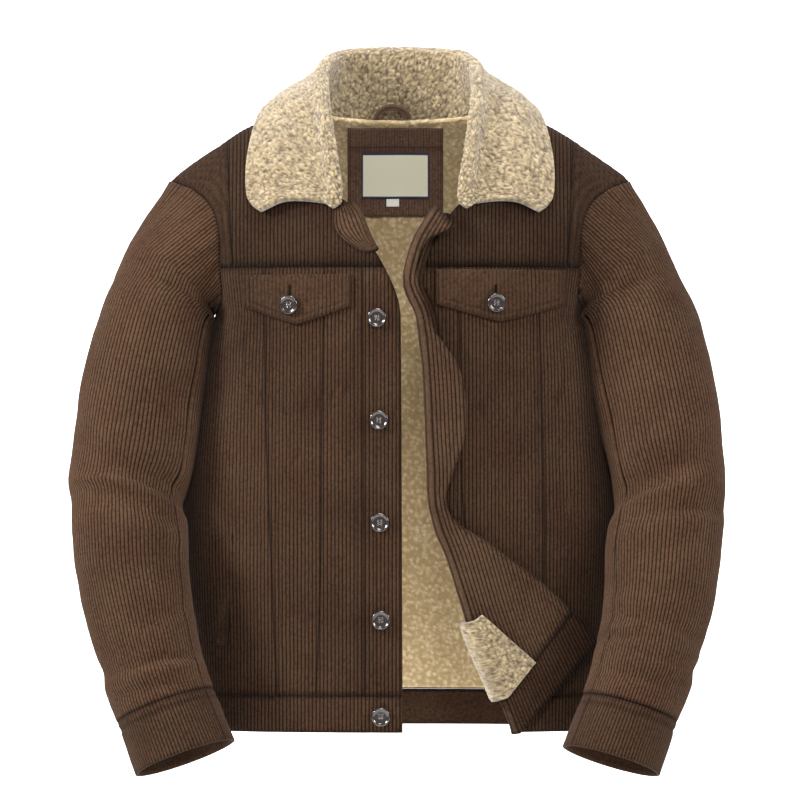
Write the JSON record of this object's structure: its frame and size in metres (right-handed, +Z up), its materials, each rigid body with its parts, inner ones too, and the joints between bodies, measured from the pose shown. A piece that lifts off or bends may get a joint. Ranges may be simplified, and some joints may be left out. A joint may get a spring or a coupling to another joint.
{
  "type": "sherpa lined jacket",
  "caption": "Hip-length corduroy jacket with pile collar and lining, flapped chest pockets, buttoned front left open, in its worn hollow shape.",
  "frame": {"origin": "middle of the neck at the height of the back neck seam, where the wearer's shoulders hold the jacket", "axes": "+Z up, the wearer faces -Y, +X is the wearer's left"},
  "size_m": [0.6896, 0.3016, 0.7698],
  "materials": {
    "corduroy": "fine brown cotton corduroy, ribs 4 mm apart",
    "facing": "the same corduroy, turned to show the inside of the front edge",
    "patch_corduroy": "darker fine corduroy",
    "pile": "curled sand-coloured pile in small nubs",
    "label": "woven cream cloth with a dark blue border, bare",
    "size_tab": "plain white woven tape",
    "button": "polished dark brown resin"
  },
  "bodies": {
    "root": {"right_front_yoke": "corduroy", "right_armhole_panel": "corduroy", "right_side_panel": "corduroy", "right_middle_panel": "corduroy", "right_inner_panel": "corduroy", "right_placket": "corduroy", "right_lining": "pile", "left_front_yoke": "corduroy", "left_armhole_panel": "corduroy", "left_side_panel": "corduroy", "left_middle_panel": "corduroy", "left_inner_panel": "corduroy", "left_lining": "pile", "right_facing": "facing", "right_hem_band": "corduroy", "right_lapel_turn": "facing", "left_placket": "corduroy", "left_hem_band": "corduroy", "left_facing": "facing", "left_lining_turn": "pile", "back_yoke": "corduroy", "back_panel": "corduroy", "back_hem_band": "corduroy", "back_lining": "pile", "right_top_sleeve": "corduroy", "right_under_sleeve": "corduroy", "right_cuff": "corduroy", "left_top_sleeve": "corduroy", "left_under_sleeve": "corduroy", "left_cuff": "corduroy", "collar": "pile", "right_pocket_flap": "corduroy", "left_pocket_flap": "corduroy", "right_welt": "corduroy", "left_welt": "corduroy", "neck_patch": "patch_corduroy", "neck_label": "label", "size_tab": "size_tab", "hanger_loop": "patch_corduroy", "band_button_1": "button", "band_button_2": "button", "band_button_3": "button", "band_button_4": "button", "hem_button": "button", "right_flap_button": "button", "left_flap_button": "button"}
  },
  "joints": []
}
